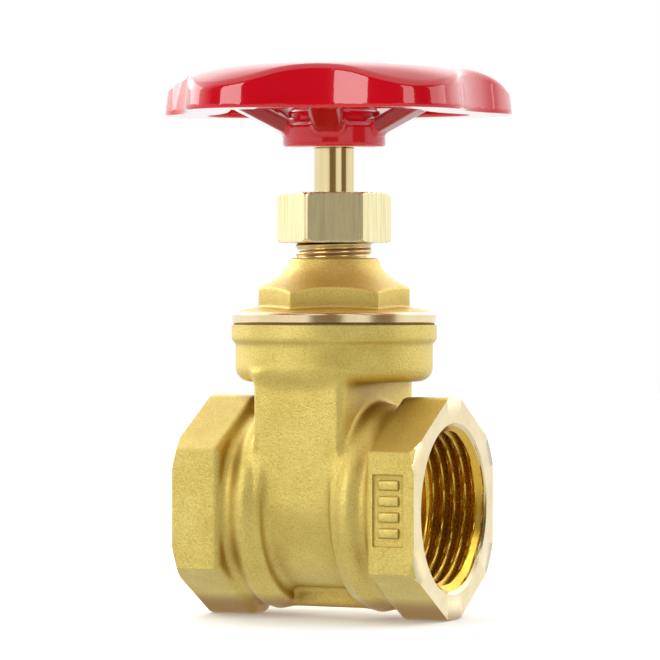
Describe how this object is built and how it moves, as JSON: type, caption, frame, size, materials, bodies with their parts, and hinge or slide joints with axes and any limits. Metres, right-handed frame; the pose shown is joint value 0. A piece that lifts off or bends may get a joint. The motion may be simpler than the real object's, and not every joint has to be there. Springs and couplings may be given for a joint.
{
  "type": "gate valve",
  "caption": "Brass gate valve with threaded ports, a lobed red handwheel on a stem that turns without rising, and a solid wedge gate that lifts clear of the waterway.",
  "frame": {"origin": "where the pipe axis crosses the stem axis, at the middle of the waterway", "axes": "+X along the pipe axis, out of the right port; +Z along the stem, up to the handwheel"},
  "size_m": [0.0685, 0.0703, 0.11],
  "materials": {
    "cast_brass": "sand cast, shot blasted",
    "turned_brass": "turned",
    "drawn_brass": "drawn hexagon bar",
    "wheel_enamel": "gloss enamel",
    "ptfe": "satin",
    "fibre": "matte fibre",
    "plate": "brushed",
    "zinc_steel": "bright zinc"
  },
  "bodies": {
    "valve": {"valve_body": "cast_brass", "bonnet": "cast_brass", "bonnet_gasket": "fibre", "thrust_washer_lower": "ptfe", "thrust_washer_upper": "ptfe", "stem_retainer": "turned_brass", "packing_washer": "turned_brass", "packing_ring_lower": "ptfe", "packing_ring_middle": "ptfe", "packing_ring_upper": "ptfe", "gland_follower": "turned_brass", "packing_nut": "drawn_brass"},
    "spindle": {"stem": "turned_brass", "handwheel": "wheel_enamel", "wheel_plate": "plate", "wheel_lock_washer": "zinc_steel", "wheel_nut": "zinc_steel"},
    "gate": {"gate_wedge": "cast_brass"}
  },
  "joints": [
    {"name": "wheel_turn", "type": "hinge", "parent": "valve", "child": "spindle", "pos_m": [0, 0, 0.0717], "axis": [0, 0, 1], "range_deg": [-3000, 0]},
    {"name": "gate_slide", "type": "slide", "parent": "valve", "child": "gate", "axis": [0, 0, 1], "range_m": [-0.025, 0]}
  ],
  "couplings": [
    {"joint": "gate_slide", "follows": "wheel_turn", "m_per_rad": 0.00047746}
  ]
}
